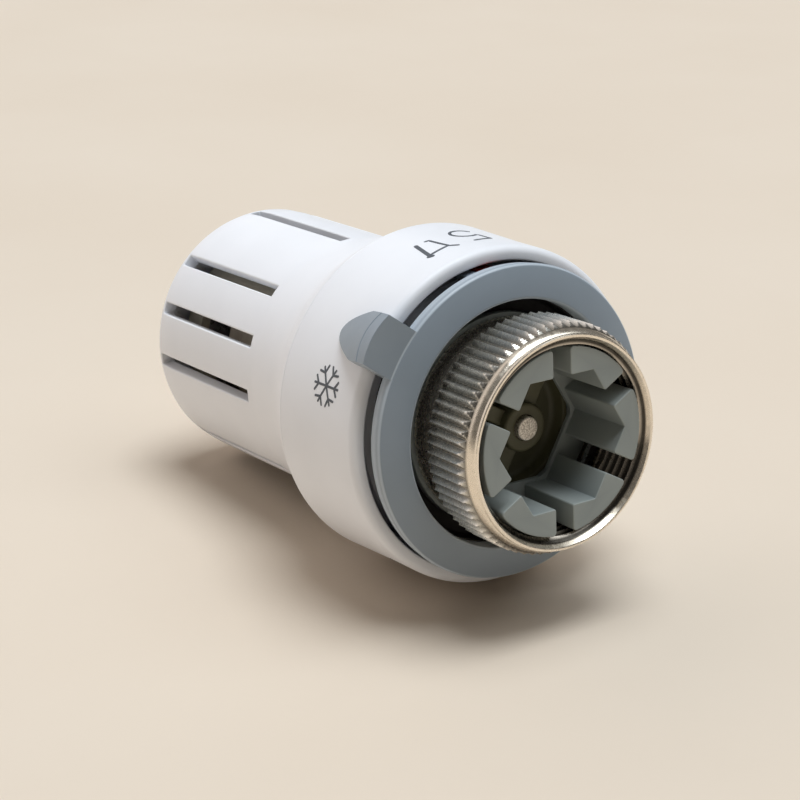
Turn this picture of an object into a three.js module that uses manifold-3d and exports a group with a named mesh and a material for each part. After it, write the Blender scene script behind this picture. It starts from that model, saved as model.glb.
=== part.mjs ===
// Thermostatic radiator valve head, M30 x 1.5 connection, lying on its side.
// Millimetres, +Z up. The head's axis is the X axis: the union nut's mouth is at x = 0 and
// faces +X, and the body runs back from it towards -X. "Depth" is the distance behind a plane
// that lies DATUM behind the mouth, so a point at depth d has x = -(d + DATUM). Angles run from
// +Y towards +Z about the axis.
import * as THREE from 'three';
import { mergeVertices } from 'three/addons/utils/BufferGeometryUtils.js';
import Module from 'manifold-3d';

const wasm = await Module();
wasm.setup();

// ---- Driving dimensions -------------------------------------------------------------
const GAP = 0.3; // play between neighbouring pieces
const EPS = 0.5; // how far a cutting tool runs past the face that it cuts
const DATUM = 1.3; // depth 0 lies this far behind the nut's mouth, which is the row's origin
const MOUTH = -DATUM;

// Handle
const DRUM_R = 25.9;
const DRUM_FRONT = 15.1;
const RIM_R = 23.4; // opening at the front of the drum
const SEAM = 34.2; // joint of the drum and the vented sleeve, where the shoulder starts
const NECK = 46; // depth at which the shoulder runs into the sleeve
const SLEEVE_R = 21.1;
const REAR = 88.3;
const REAR_ROUND = 6.5;
const WALL = 2;
const VENT_FRONT = 53.6;
const VENT_REAR = 83.5;
const VENT_WIDTH = 2;
const VENT_GROUPS = 4;
const VENT_FIRST = 159.4; // middle vent of the first group, degrees
const VENT_STEP = 24.2; // between the three vents of a group, degrees

// Drive thread between the handle and the base
const LEAD = 5.6; // axial travel of the handle for one turn
const BARREL_R = 18.5;
const THREAD_R = 19.9; // bore of the handle's threaded sleeve
const THREAD_HEIGHT = 1;

// Collar, pointer and rotation stops
const COLLAR_FRONT = 10.3;
const COLLAR_BACK = 13.5;
const COLLAR_BORE = 18.75;
const COLLAR_R = 23.7;
const POINTER_ANGLE = 143.7;
const POINTER_WIDTH = 7.5;
const POINTER_R = 29.1;
const POINTER_REACH = 23.8; // depth of the pointer's nose
const STOP_R0 = 21.9;
const STOP_R1 = 22.8;
const STOP_ANGLE = 100.5;
const CLIP_ANGLE = 93.3;
const HANDLE_STOP = [60.6, 87]; // angles that the handle's own stop spans

// Union nut and collet
const NUT_R = 17.2;
const NUT_ROOT_R = 16.5;
const NUT_TEETH = 72;
const NUT_REAR = 14.5;
const KNURL_REAR = 9.1;
const NUT_BORE = 14.2; // minor radius of M30 x 1.5
const NUT_LIP_R = 15;
const COLLET_R = 13.5;
const COLLET_FRONT = -0.5;
const COLLET_BACK = 16.3;
const HEX_FLAT = 9.7; // half the width across flats of the hexagonal socket
const SLOT_WIDTH = 3.1;
const FINGERS = 6;

// Pressure pin and sensor
const PIN_R = 2;
const PIN_FRONT = 7.8;
const PIN_STEM_REAR = 32;
const PISTON_R = 2.2;
const CARRIER_R = 16.3;
const CARRIER_BORE = 14.3;
const CAGE_R = 15.9;
const CAN_FRONT = 44;
const CAN_REAR = 74;
const CAN_R = 13.6;
const CAN_WALL = 0.8;

// Facets round a full turn
const COARSE = 24;
const FINE = 40;

// ---- Shape helpers ------------------------------------------------------------------
const deg = THREE.MathUtils.degToRad;

// Turns a shape drawn in the XY plane and extruded along +Z into one seen along the head's
// axis: drawing X becomes Y, drawing Y becomes Z and the extrusion runs along +X.
const ALONG_AXIS = new THREE.Matrix4().makeBasis(
  new THREE.Vector3(0, 1, 0),
  new THREE.Vector3(0, 0, 1),
  new THREE.Vector3(1, 0, 0),
);

// Closed solid of a three.js geometry, with its seams welded and its faces turned outward.
function solid(geometry) {
  const bare = new THREE.BufferGeometry();
  bare.setAttribute('position', geometry.getAttribute('position'));
  if (geometry.index) bare.setIndex(geometry.index);
  const welded = mergeVertices(bare, 1e-4);
  const position = welded.getAttribute('position').array;
  const index = welded.index.array;
  const triangles = [];
  let volume = 0;
  for (let i = 0; i < index.length; i += 3) {
    const [a, b, c] = [index[i], index[i + 1], index[i + 2]];
    if (a === b || b === c || c === a) continue;
    const [pa, pb, pc] = [a, b, c].map((v) => new THREE.Vector3().fromArray(position, 3 * v));
    volume += pa.dot(pb.cross(pc));
    triangles.push(a, b, c);
  }
  if (volume < 0) triangles.reverse();
  return new wasm.Manifold(new wasm.Mesh({
    numProp: 3,
    vertProperties: Float32Array.from(position),
    triVerts: Uint32Array.from(triangles),
  }));
}

function join(first, ...others) {
  return others.reduce((sum, other) => sum.add(other), first);
}

function cut(body, ...tools) {
  return tools.reduce((rest, tool) => rest.subtract(tool), body);
}

// Solid of revolution about the head's axis. The profile is a list of [depth, radius].
// It closes on itself unless both of its ends are on the axis.
function revolve(profile, segments = FINE) {
  const points = profile.map(([depth, radius]) => new THREE.Vector2(radius, -depth));
  const onAxis = profile[0][1] === 0 && profile[profile.length - 1][1] === 0;
  if (!onAxis) points.push(points[0].clone());
  const geometry = new THREE.LatheGeometry(points, segments);
  geometry.rotateX(Math.PI / 2);
  geometry.applyMatrix4(ALONG_AXIS);
  geometry.rotateX(Math.PI / segments);
  return solid(geometry);
}

// Plain tube or ring between two depths.
function ring(front, back, bore, radius, segments = FINE) {
  return revolve([[front, bore], [front, radius], [back, radius], [back, bore]], segments);
}

// Plain rod between two depths.
function rod(front, back, radius, segments = COARSE) {
  return revolve([[front, 0], [front, radius], [back, radius], [back, 0]], segments);
}

// Flat shape in the YZ plane, extruded between two depths.
function prism(shape, front, back) {
  const geometry = new THREE.ExtrudeGeometry(shape, {
    depth: back - front,
    bevelEnabled: false,
    curveSegments: 12,
  });
  geometry.applyMatrix4(ALONG_AXIS);
  geometry.translate(-back, 0, 0);
  return solid(geometry);
}

// Block between two depths and two radii, with parallel sides, centred on an angle.
function block(front, back, inner, outer, width, angle) {
  const geometry = new THREE.BoxGeometry(back - front, outer - inner, width);
  geometry.translate(-(front + back) / 2, (inner + outer) / 2, 0);
  geometry.rotateX(deg(angle));
  return solid(geometry);
}

// Part of a ring between two angles.
function arcBlock(front, back, inner, outer, from, to) {
  const shape = new THREE.Shape();
  shape.absarc(0, 0, outer, deg(from), deg(to), false);
  shape.absarc(0, 0, inner, deg(to), deg(from), true);
  shape.closePath();
  return prism(shape, front, back);
}

// Right-handed helix about the head's axis.
class Helix extends THREE.Curve {
  constructor(radius, front, lead, turns) {
    super();
    Object.assign(this, { radius, front, lead, turns });
  }

  getPoint(t, target = new THREE.Vector3()) {
    const angle = 2 * Math.PI * this.turns * t;
    const depth = this.front + this.lead * this.turns * t;
    return target.set(-depth, this.radius * Math.cos(-angle), this.radius * Math.sin(-angle));
  }
}

// Round bar wound along a helix.
function coil(helix, barRadius, sides, stepsPerTurn) {
  const section = new THREE.Shape();
  section.absarc(0, 0, barRadius, 0, 2 * Math.PI, false);
  const geometry = new THREE.ExtrudeGeometry(section, {
    steps: Math.round(stepsPerTurn * helix.turns),
    curveSegments: sides,
    bevelEnabled: false,
    extrudePath: helix,
  });
  return solid(geometry);
}

// Points of a quarter of an ellipse between two corners of a profile.
function quarter(center, depthRadius, radius, from, to, steps) {
  return Array.from({ length: steps + 1 }, (_, i) => {
    const angle = deg(from + (i / steps) * (to - from));
    return [
      center[0] + depthRadius * Math.cos(angle),
      center[1] + radius * Math.sin(angle),
    ];
  });
}

// ---- Materials ----------------------------------------------------------------------
const WHITE = { color: 0xf1f2f4, roughness: 0.42, metalness: 0 };
const BLUE_GREY = { color: 0x7b848b, roughness: 0.5, metalness: 0 };
const GREY = { color: 0x80847f, roughness: 0.5, metalness: 0 };
const BLACK = { color: 0x17181a, roughness: 0.55, metalness: 0 };
const OLIVE = { color: 0x4a4a35, roughness: 0.6, metalness: 0 };
const RED = { color: 0x8a231d, roughness: 0.5, metalness: 0 };
const NATURAL = { color: 0xd9d4c6, roughness: 0.5, metalness: 0 };
const NICKEL = { color: 0xc9c2b4, roughness: 0.25, metalness: 1 };
const STEEL = { color: 0xb4b6b8, roughness: 0.35, metalness: 1 };
const BRASS = { color: 0xb79a58, roughness: 0.35, metalness: 1 };
const ALUMINIUM = { color: 0xc4c6c8, roughness: 0.4, metalness: 1 };

const head = new THREE.Group();
head.name = 'thermostatic_radiator_valve_head';

// Adds a solid to the head as a mesh of its own.
function piece(name, body, finish) {
  const { vertProperties, triVerts, numProp } = body.getMesh();
  const geometry = new THREE.BufferGeometry();
  const count = vertProperties.length / numProp;
  const position = new Float32Array(3 * count);
  for (let i = 0; i < count; i += 1) {
    position.set(vertProperties.subarray(i * numProp, i * numProp + 3), 3 * i);
    position[3 * i] -= DATUM;
  }
  geometry.setAttribute('position', new THREE.BufferAttribute(position, 3));
  geometry.setIndex(new THREE.BufferAttribute(Uint32Array.from(triVerts), 1));
  geometry.computeVertexNormals();
  const mesh = new THREE.Mesh(geometry, new THREE.MeshStandardMaterial(finish));
  mesh.name = name;
  head.add(mesh);
}

// ---- Handle -------------------------------------------------------------------------
// The drum carries the dial. Its outer wall and its threaded sleeve leave a ring-shaped
// space for the stops, and its web pushes the sensor carrier. The vented sleeve's shoulder
// fits over the ledge round the web.
const SLEEVE_FRONT = 18.7;
const WEB_FRONT = 36.3;
const WEB_BACK = 38.5;
const LEDGE_R = 23.1;
const LEDGE_REAR_R = 21.5;
const THRUST_FRONT = 42.2; // front of the ring inside the sleeve that the carrier's flange runs on
const THRUST_R = 19.2;

function handleDrum() {
  const body = revolve([
    [DRUM_FRONT, RIM_R],
    ...quarter([DRUM_FRONT + 1.9, DRUM_R - 1.7], 1.9, 1.7, 180, 90, 4),
    [SEAM - GAP / 2, DRUM_R],
    [SEAM - GAP / 2, LEDGE_R],
    [WEB_FRONT, LEDGE_R],
    [WEB_BACK, LEDGE_REAR_R],
    [WEB_BACK, CARRIER_R + 0.8],
    [WEB_FRONT, CARRIER_R + 0.8],
    [WEB_FRONT, THREAD_R],
    [SLEEVE_FRONT, THREAD_R],
    [SLEEVE_FRONT, THREAD_R + 1.5],
    [SEAM - 2.3, THREAD_R + 1.5],
    [SEAM - 2.3, DRUM_R - WALL],
    [DRUM_FRONT + 1.2, DRUM_R - WALL],
  ]);
  const stop = arcBlock(19, 23, STOP_R0 + 0.1, DRUM_R - WALL + 0.6, ...HANDLE_STOP);
  const thread = coil(new Helix(THREAD_R + 0.1, 22, LEAD, 1.5), THREAD_HEIGHT, 3, COARSE);
  return join(body, stop, thread);
}

function ventedSleeve() {
  const corner = [REAR - REAR_ROUND, SLEEVE_R - REAR_ROUND];
  const body = revolve([
    [REAR, 0],
    ...quarter(corner, REAR_ROUND, REAR_ROUND, 0, 90, 7),
    [NECK, SLEEVE_R],
    [NECK - 1.6, SLEEVE_R + 0.3],
    [NECK - 4, DRUM_R - 3.9],
    [NECK - 6.4, DRUM_R - 2.9],
    [NECK - 8.6, DRUM_R - 1.6],
    [NECK - 10.6, DRUM_R - 0.5],
    [SEAM + GAP / 2, DRUM_R - 0.1],
    [SEAM + GAP / 2, LEDGE_R + GAP],
    [WEB_FRONT - 0.1, LEDGE_R + GAP],
    [WEB_BACK, LEDGE_REAR_R + GAP],
    [THRUST_FRONT, SLEEVE_R - WALL + 1],
    [THRUST_FRONT, THRUST_R - 1.3],
    [NECK - 0.6, THRUST_R - 1.3],
    [NECK + 0.6, SLEEVE_R - WALL],
    ...quarter(corner, REAR_ROUND - WALL, REAR_ROUND - WALL, 90, 0, 5),
    [REAR - WALL, 0],
  ]);
  const vents = [];
  for (let group = 0; group < VENT_GROUPS; group += 1) {
    for (const side of [-1, 0, 1]) {
      const angle = VENT_FIRST + (360 / VENT_GROUPS) * group + side * VENT_STEP;
      vents.push(block(VENT_FRONT, VENT_REAR, SLEEVE_R - 4, SLEEVE_R + 1, VENT_WIDTH, angle));
    }
  }
  return cut(body, ...vents);
}

piece('handle_drum', handleDrum(), WHITE);
piece('vented_sleeve', ventedSleeve(), WHITE);

// ---- Collar with pointer --------------------------------------------------------------
// The pointer is an L: a plate that stands up from the collar and a nose that lies over
// the drum with its underside clear of it.
function pointerCollar() {
  const body = revolve([
    [COLLAR_FRONT + 0.4, COLLAR_BORE - 0.15],
    [COLLAR_FRONT, COLLAR_BORE + 0.3],
    [COLLAR_FRONT + 1, COLLAR_R - 0.4],
    [COLLAR_FRONT + 1.3, COLLAR_R],
    [COLLAR_BACK, COLLAR_R - 0.2],
    [COLLAR_BACK, COLLAR_BORE - 0.15],
  ]);
  const stop = arcBlock(COLLAR_BACK - 0.6, 27, STOP_R0, STOP_R1, STOP_ANGLE - 2.5, STOP_ANGLE + 2.5);
  const pocket = arcBlock(COLLAR_BACK - 1.2, COLLAR_BACK + EPS, STOP_R0 - GAP, STOP_R1 + 0.2,
    CLIP_ANGLE - 5, CLIP_ANGLE + 4.5);
  const plateBack = COLLAR_FRONT + 3.4;
  const plate = block(COLLAR_FRONT + 1.2, plateBack, COLLAR_R - 2, POINTER_R, POINTER_WIDTH, 0);
  const half = POINTER_WIDTH / 2;
  const arch = new THREE.Shape();
  arch.moveTo(-plateBack + 0.5, -half);
  arch.lineTo(-plateBack + 0.5, half);
  arch.lineTo(-plateBack - 2.6, half);
  arch.absellipse(-plateBack - 2.6, 0, POINTER_REACH - plateBack - 2.6, half, Math.PI / 2,
    1.5 * Math.PI, false);
  const nose = solid(new THREE.ExtrudeGeometry(arch, {
    depth: POINTER_R - DRUM_R,
    bevelEnabled: false,
    curveSegments: 7,
  }).applyMatrix4(new THREE.Matrix4().makeBasis(
    new THREE.Vector3(1, 0, 0),
    new THREE.Vector3(0, 0, -1),
    new THREE.Vector3(0, 1, 0),
  )).translate(0, DRUM_R, 0));
  // The top falls away towards the tip, and the underside follows the drum.
  const slopeAngle = Math.atan2(1.9, POINTER_REACH - plateBack);
  const slope = new THREE.BoxGeometry(40, 6, 20);
  slope.translate(-20, 3, 0);
  slope.rotateZ(slopeAngle);
  slope.translate(-plateBack + 0.9, POINTER_R, 0);
  const chamfer = new THREE.BoxGeometry(6, 6, 20);
  chamfer.translate(3, 3, 0);
  chamfer.rotateZ(deg(-28));
  chamfer.translate(-plateBack + 0.9, POINTER_R, 0);
  const clearance = rod(COLLAR_BACK + 0.1, 40, DRUM_R + GAP + 0.1, FINE);
  const pointer = cut(join(plate, nose), solid(slope), solid(chamfer));
  const turned = pointer.rotate([POINTER_ANGLE, 0, 0]);
  return cut(join(cut(body, pocket), stop, cut(turned, clearance)));
}

piece('pointer_collar', pointerCollar(), BLUE_GREY);

// Removable clip that narrows the handle's range when it is moved to another pocket.
function limitClip() {
  const body = arcBlock(COLLAR_BACK - 0.8, 21, STOP_R0, STOP_R1, CLIP_ANGLE - 4.2, CLIP_ANGLE + 3.7);
  const slit = arcBlock(16.5, 21 + EPS, STOP_R0 - EPS, STOP_R1 + EPS, CLIP_ANGLE - 1.2, CLIP_ANGLE + 0.8);
  return cut(body, slit);
}

piece('limit_clip', limitClip(), RED);

// ---- Base ---------------------------------------------------------------------------
// The fixed barrel: a recess for the nut in front, a web that holds the collet, and a
// threaded tube behind it with three keyways for the sensor carrier.
const BARREL_FRONT = COLLAR_BACK + GAP;
const BARREL_REAR = 35.8;
const WEB = [COLLET_BACK + GAP, COLLET_BACK + GAP + 2.3];
const KEY_ANGLES = [30, 150, 270];
const KEY_WIDTH = 2.4;

function baseBarrel() {
  const body = revolve([
    [BARREL_FRONT, COLLAR_BORE - 0.35],
    [BARREL_FRONT, STOP_R0 - 0.4],
    [BARREL_FRONT + 1.8, STOP_R0 - 0.4],
    [BARREL_FRONT + 1.8, THREAD_R - 0.3],
    [SLEEVE_FRONT - 0.7, THREAD_R - 0.3],
    [SLEEVE_FRONT - 0.7, BARREL_R],
    [BARREL_REAR, BARREL_R],
    [BARREL_REAR, CARRIER_R + 0.4],
    [WEB[1], CARRIER_R + 0.4],
    [WEB[1], 4.4],
    [WEB[0], 4.4],
    [WEB[0], COLLAR_BORE - 0.35],
  ]);
  const thread = coil(new Helix(BARREL_R - 0.1, 22 + LEAD / 2, LEAD, 1.5), THREAD_HEIGHT, 3, COARSE);
  const keyways = KEY_ANGLES.map((angle) => block(
    WEB[1] + 0.6, BARREL_REAR + EPS, CARRIER_R - 0.6, CARRIER_R + 1.35, KEY_WIDTH + 2 * GAP, angle,
  ));
  return cut(join(body, thread), ...keyways);
}

piece('base_barrel', baseBarrel(), BLACK);

// Six fingers round a hexagonal socket, which fits over the hexagon of the valve's gland.
const SOCKET_DEPTH = 11.2;
const FLOOR_FLAT = 9.15; // half the width across flats of the hole in the socket's floor
const GROOVE = [8, 9.4];

function hexagon(flat) {
  const shape = new THREE.Shape();
  const corner = flat / Math.cos(Math.PI / FINGERS);
  for (let i = 0; i < FINGERS; i += 1) {
    const angle = (2 * Math.PI * i) / FINGERS;
    const place = [corner * Math.cos(angle), corner * Math.sin(angle)];
    if (i === 0) shape.moveTo(...place);
    else shape.lineTo(...place);
  }
  shape.closePath();
  return shape;
}

function colletInsert() {
  const body = revolve([
    [COLLET_FRONT, 8.5],
    [COLLET_FRONT, COLLET_R - 0.4],
    [COLLET_FRONT + 0.4, COLLET_R],
    [GROOVE[0], COLLET_R],
    [GROOVE[0], COLLET_R - 0.7],
    [GROOVE[1], COLLET_R - 0.7],
    [GROOVE[1], COLLET_R],
    [NUT_REAR + GAP, COLLET_R],
    [NUT_REAR + GAP, COLLET_R + 2],
    [COLLET_BACK, COLLET_R + 2],
    [COLLET_BACK, 10.4],
    [SOCKET_DEPTH + 0.5, 10.4],
    [SOCKET_DEPTH + 0.5, 8.5],
  ]);
  const slots = [];
  for (let i = 0; i < FINGERS / 2; i += 1) {
    const angle = 180 / FINGERS + (360 * i) / FINGERS;
    slots.push(block(COLLET_FRONT - EPS, SOCKET_DEPTH - 0.2, -20, 20, SLOT_WIDTH, angle));
  }
  const socket = prism(hexagon(HEX_FLAT), COLLET_FRONT - EPS, SOCKET_DEPTH);
  const opening = prism(hexagon(FLOOR_FLAT), SOCKET_DEPTH - EPS, SOCKET_DEPTH + EPS);
  return cut(body, socket, opening, ...slots);
}

piece('collet_insert', colletInsert(), GREY);

// ---- Union nut ------------------------------------------------------------------------
function unionNut() {
  const knurl = new THREE.Shape();
  for (let i = 0; i < 2 * NUT_TEETH; i += 1) {
    const angle = (Math.PI * i) / NUT_TEETH;
    const radius = i % 2 === 0 ? NUT_R : NUT_ROOT_R;
    const place = [radius * Math.cos(angle), radius * Math.sin(angle)];
    if (i === 0) knurl.moveTo(...place);
    else knurl.lineTo(...place);
  }
  knurl.closePath();
  const core = revolve([
    [MOUTH, NUT_LIP_R - 0.1],
    [MOUTH, NUT_LIP_R + 0.6],
    [MOUTH + 0.4, NUT_LIP_R + 1.3],
    [MOUTH + 1.1, NUT_R - 0.2],
    [MOUTH + 1.7, NUT_R - 0.2],
    [MOUTH + 2, NUT_ROOT_R - 0.2],
    [KNURL_REAR + 0.5, NUT_ROOT_R - 0.2],
    [KNURL_REAR + 1, NUT_LIP_R + 0.4],
    [NUT_REAR, NUT_LIP_R + 0.4],
    [NUT_REAR, COLLET_R + 0.3],
    [GROOVE[1] - 0.1, COLLET_R + 0.3],
    [GROOVE[1] - 0.1, NUT_LIP_R + 0.1],
    [GROOVE[0] - 0.4, NUT_LIP_R + 0.1],
    [GROOVE[0] - 0.6, NUT_BORE],
    [MOUTH + 0.9, NUT_BORE],
  ]);
  const bore = rod(MOUTH + 1, NUT_REAR + EPS, NUT_ROOT_R - 0.6, FINE);
  return join(core, cut(prism(knurl, MOUTH + 1.8, KNURL_REAR), bore));
}

piece('union_nut', unionNut(), NICKEL);

// Open wire ring that sits in the collet's groove and keeps the nut on.
function nutSnapRing() {
  const body = ring(GROOVE[0] + 0.3, GROOVE[1] - 0.3, COLLET_R - 0.4, COLLET_R + 1, COARSE);
  return cut(body, block(GROOVE[0], GROOVE[1], COLLET_R - 2, COLLET_R + 3, 5, 90));
}

piece('nut_snap_ring', nutSnapRing(), STEEL);

// ---- Pressure pin -----------------------------------------------------------------------
const BOSS_R = 4;
const PIN_BORE = PIN_R + 0.4;
const GUIDE_FRONT = 8.6;
const GUIDE_REAR = 17.9;
const GUIDE_RING = [SOCKET_DEPTH + 0.8, COLLET_BACK];
const RIB_FRONT = 9.8;
const RIB_ANGLES = [60, 150, 240];
const SLOT_RIB = 150; // the rib that reaches out through one of the collet's slots

function pinGuide() {
  const boss = ring(GUIDE_FRONT, GUIDE_REAR, PIN_BORE, BOSS_R, COARSE);
  const rim = ring(GUIDE_RING[0], GUIDE_RING[1], 8, 10.1, COARSE);
  const base = ring(GUIDE_RING[1] - 1.8, GUIDE_RING[1], BOSS_R - 0.5, 9, COARSE);
  const ribs = RIB_ANGLES.map((angle) => (
    block(RIB_FRONT, GUIDE_RING[1] - 1, BOSS_R - 0.5, 8.8, 2.4, angle)
  ));
  const arm = block(RIB_FRONT, RIB_FRONT + 0.9, BOSS_R, COLLET_R - 0.8, 2.5, SLOT_RIB);
  return join(boss, rim, base, ...ribs, arm);
}

piece('pin_guide', pinGuide(), OLIVE);

const STEM_FRONT = 21.8;
const STEM_SOCKET = 26.4;
const FLANGE = [27, 28.4];

piece('pin_tip', rod(PIN_FRONT, STEM_SOCKET - GAP, PIN_R), STEEL);

piece('pin_stem', revolve([
  [STEM_SOCKET, 0],
  [STEM_SOCKET, PIN_R + GAP],
  [STEM_FRONT, PIN_R + GAP],
  [STEM_FRONT, 3.4],
  [FLANGE[0], 3.4],
  [FLANGE[0], 6.4],
  [FLANGE[1], 6.4],
  [FLANGE[1], 3.4],
  [PIN_STEM_REAR, 3.4],
  [PIN_STEM_REAR, 0],
], COARSE), OLIVE);

// Light spring that keeps the pin against the sensor.
const RETURN_SPRING = { radius: 5.4, wire: 0.45, turns: 4 };
const returnLength = FLANGE[0] - WEB[1] - 2 * (GAP + RETURN_SPRING.wire);
piece('pin_return_spring', coil(new Helix(
  RETURN_SPRING.radius,
  WEB[1] + GAP + RETURN_SPRING.wire,
  returnLength / RETURN_SPRING.turns,
  RETURN_SPRING.turns,
), RETURN_SPRING.wire, 3, 14), STEEL);

// ---- Sensor -----------------------------------------------------------------------------
const PAD_REAR = PIN_STEM_REAR + 2.8;
piece('piston_pad', revolve([
  [PIN_STEM_REAR + GAP, 0],
  [PIN_STEM_REAR + GAP, 4],
  [PAD_REAR + 1.5, 4],
  [PAD_REAR + 1.5, PISTON_R + GAP],
  [PAD_REAR, PISTON_R + GAP],
  [PAD_REAR, 0],
], COARSE), NATURAL);

const PLATE_REAR = CAN_FRONT + 1.2;
const BELLOWS_REAR = 61.5;
piece('sensor_piston', rod(PAD_REAR + GAP, BELLOWS_REAR - 1, PISTON_R, COARSE), STEEL);

piece('sensor_end_plate', ring(
  CAN_FRONT, PLATE_REAR, PISTON_R + 0.4, CAN_R - CAN_WALL - GAP, COARSE,
), BRASS);

piece('sensor_can', revolve([
  [CAN_REAR, 1.6],
  [CAN_REAR, CAN_R - 0.8],
  [CAN_REAR - 0.8, CAN_R],
  [CAN_FRONT, CAN_R],
  [CAN_FRONT, CAN_R - CAN_WALL],
  [CAN_REAR - CAN_WALL, CAN_R - CAN_WALL],
  [CAN_REAR - CAN_WALL, 1.6],
], COARSE), ALUMINIUM);

piece('fill_plug', revolve([
  [CAN_REAR - 2, 0],
  [CAN_REAR - 2, 1.25],
  [CAN_REAR + GAP, 1.25],
  [CAN_REAR + GAP, 2.4],
  [CAN_REAR + 1.3, 2.4],
  [CAN_REAR + 1.3, 0],
], 16), BRASS);

// Corrugated cup round the piston. The liquid round it expands and drives the piston out.
const BELLOWS = { waves: 5, crest: 9, root: 6.6, wall: 0.4 };

function bellowsCup() {
  const front = PLATE_REAR + GAP;
  const pitch = (BELLOWS_REAR - front) / (BELLOWS.waves + 0.5);
  const wave = (offset) => Array.from({ length: 2 * BELLOWS.waves + 1 }, (_, i) => [
    front + (i * pitch) / 2,
    (i % 2 === 0 ? BELLOWS.root : BELLOWS.crest) - offset,
  ]);
  return revolve([
    [BELLOWS_REAR, 0],
    [BELLOWS_REAR, BELLOWS.crest - 1],
    ...wave(0).reverse(),
    ...wave(BELLOWS.wall),
    [BELLOWS_REAR - BELLOWS.wall, BELLOWS.crest - 1.4],
    [BELLOWS_REAR - BELLOWS.wall, 0],
  ], 20);
}

piece('sensor_bellows', bellowsCup(), BRASS);

// ---- Sensor carrier ---------------------------------------------------------------------
// Slides in the barrel without turning. Its flange turns freely in the handle, and its
// cage holds the sensor and the spring behind it.
const CARRIER_FRONT = 20.5;
const CARRIER_FLANGE = [WEB_BACK + GAP, WEB_BACK + 2.5];
const CAGE_REAR = 83.5;
const RETAINER = [80.9, 82.5];

function sensorCarrier() {
  const body = revolve([
    [CARRIER_FRONT, CARRIER_BORE],
    [CARRIER_FRONT, CARRIER_R],
    [CARRIER_FLANGE[0], CARRIER_R],
    [CARRIER_FLANGE[0], THRUST_R],
    [CARRIER_FLANGE[1], THRUST_R],
    [CARRIER_FLANGE[1], CAGE_R],
    [CAGE_REAR, CAGE_R],
    [CAGE_REAR, CARRIER_BORE],
    [CAN_FRONT - GAP, CARRIER_BORE],
    [CAN_FRONT - GAP, 6],
    [CAN_FRONT - 2, 6],
    [CAN_FRONT - 2, CARRIER_BORE],
  ]);
  const keys = KEY_ANGLES.map((angle) => block(
    CARRIER_FRONT + 1.5, BARREL_REAR - 1, CARRIER_R - 1, CARRIER_R + 0.95, KEY_WIDTH, angle,
  ));
  const windows = [0, 90].map((angle) => block(CAN_FRONT + 3, RETAINER[0] - 2, -20, 20, 15, angle));
  return join(cut(body, ...windows), ...keys);
}

piece('sensor_carrier', sensorCarrier(), NATURAL);

piece('thrust_washer', ring(
  CARRIER_FLANGE[1] + GAP, THRUST_FRONT - GAP, CAGE_R + 0.5, THRUST_R, COARSE,
), BLACK);

piece('spring_retainer', ring(RETAINER[0], RETAINER[1], 5, CARRIER_BORE - GAP, COARSE), STEEL);

// Spring that lets the sensor back off when the valve is shut and the room warms on.
const SAFETY_SPRING = { radius: 9, wire: 0.55, turns: 3.5 };
const safetyFront = CAN_REAR + GAP + SAFETY_SPRING.wire;
const safetyRear = RETAINER[0] - GAP - SAFETY_SPRING.wire;
piece('overtravel_spring', coil(new Helix(
  SAFETY_SPRING.radius,
  safetyFront,
  (safetyRear - safetyFront) / SAFETY_SPRING.turns,
  SAFETY_SPRING.turns,
), SAFETY_SPRING.wire, 3, 14), STEEL);

export default head;
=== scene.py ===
"""Looks of a thermostatic radiator valve head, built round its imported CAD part.

Lengths are millimetres until a mesh is made. The head's axis is the X axis and the union
nut's mouth is at x = 0. A depth is the distance behind a plane that lies DATUM behind the
mouth, so depth d is at x = -(d + DATUM). Angles are degrees from +Y towards +Z about the axis.
"""
import math

import bmesh
import bpy
from mathutils import Matrix, Vector

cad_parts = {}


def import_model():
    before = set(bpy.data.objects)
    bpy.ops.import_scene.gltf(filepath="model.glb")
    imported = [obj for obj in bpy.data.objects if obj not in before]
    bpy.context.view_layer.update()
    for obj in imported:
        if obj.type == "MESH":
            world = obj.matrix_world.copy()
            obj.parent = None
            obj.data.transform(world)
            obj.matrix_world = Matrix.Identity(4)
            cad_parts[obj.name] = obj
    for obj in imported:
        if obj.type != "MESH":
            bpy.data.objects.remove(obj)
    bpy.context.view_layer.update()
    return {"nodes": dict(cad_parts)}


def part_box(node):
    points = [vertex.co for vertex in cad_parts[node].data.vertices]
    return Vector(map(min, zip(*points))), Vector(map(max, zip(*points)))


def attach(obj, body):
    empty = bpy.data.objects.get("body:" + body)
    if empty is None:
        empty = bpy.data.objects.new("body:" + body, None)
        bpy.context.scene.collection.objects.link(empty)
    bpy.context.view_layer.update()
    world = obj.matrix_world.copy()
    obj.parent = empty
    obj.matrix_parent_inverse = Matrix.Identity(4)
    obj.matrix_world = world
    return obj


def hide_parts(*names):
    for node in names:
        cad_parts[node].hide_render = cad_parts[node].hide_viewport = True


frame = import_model()

MM = 0.001
DATUM = 1.3


# ---- Places taken from the frame ------------------------------------------------------
def span(node):
    """Front and rear depth of a CAD node, in millimetres."""
    low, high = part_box(node)
    return -high.x / MM - DATUM, -low.x / MM - DATUM


DRUM_FRONT, WEB_BACK = span("handle_drum")
SLEEVE_FRONT, REAR = span("vented_sleeve")
SEAM = SLEEVE_FRONT - 0.15
COLLAR_FRONT, STOP_REAR = span("pointer_collar")
BARREL_FRONT, BARREL_REAR = span("base_barrel")
MOUTH, NUT_REAR = span("union_nut")
COLLET_FRONT, COLLET_REAR = span("collet_insert")
GUIDE_FRONT, GUIDE_REAR = span("pin_guide")
PIN_FRONT, PIN_REAR = span("pin_tip")
CLIP_FRONT, CLIP_REAR = span("limit_clip")

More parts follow.
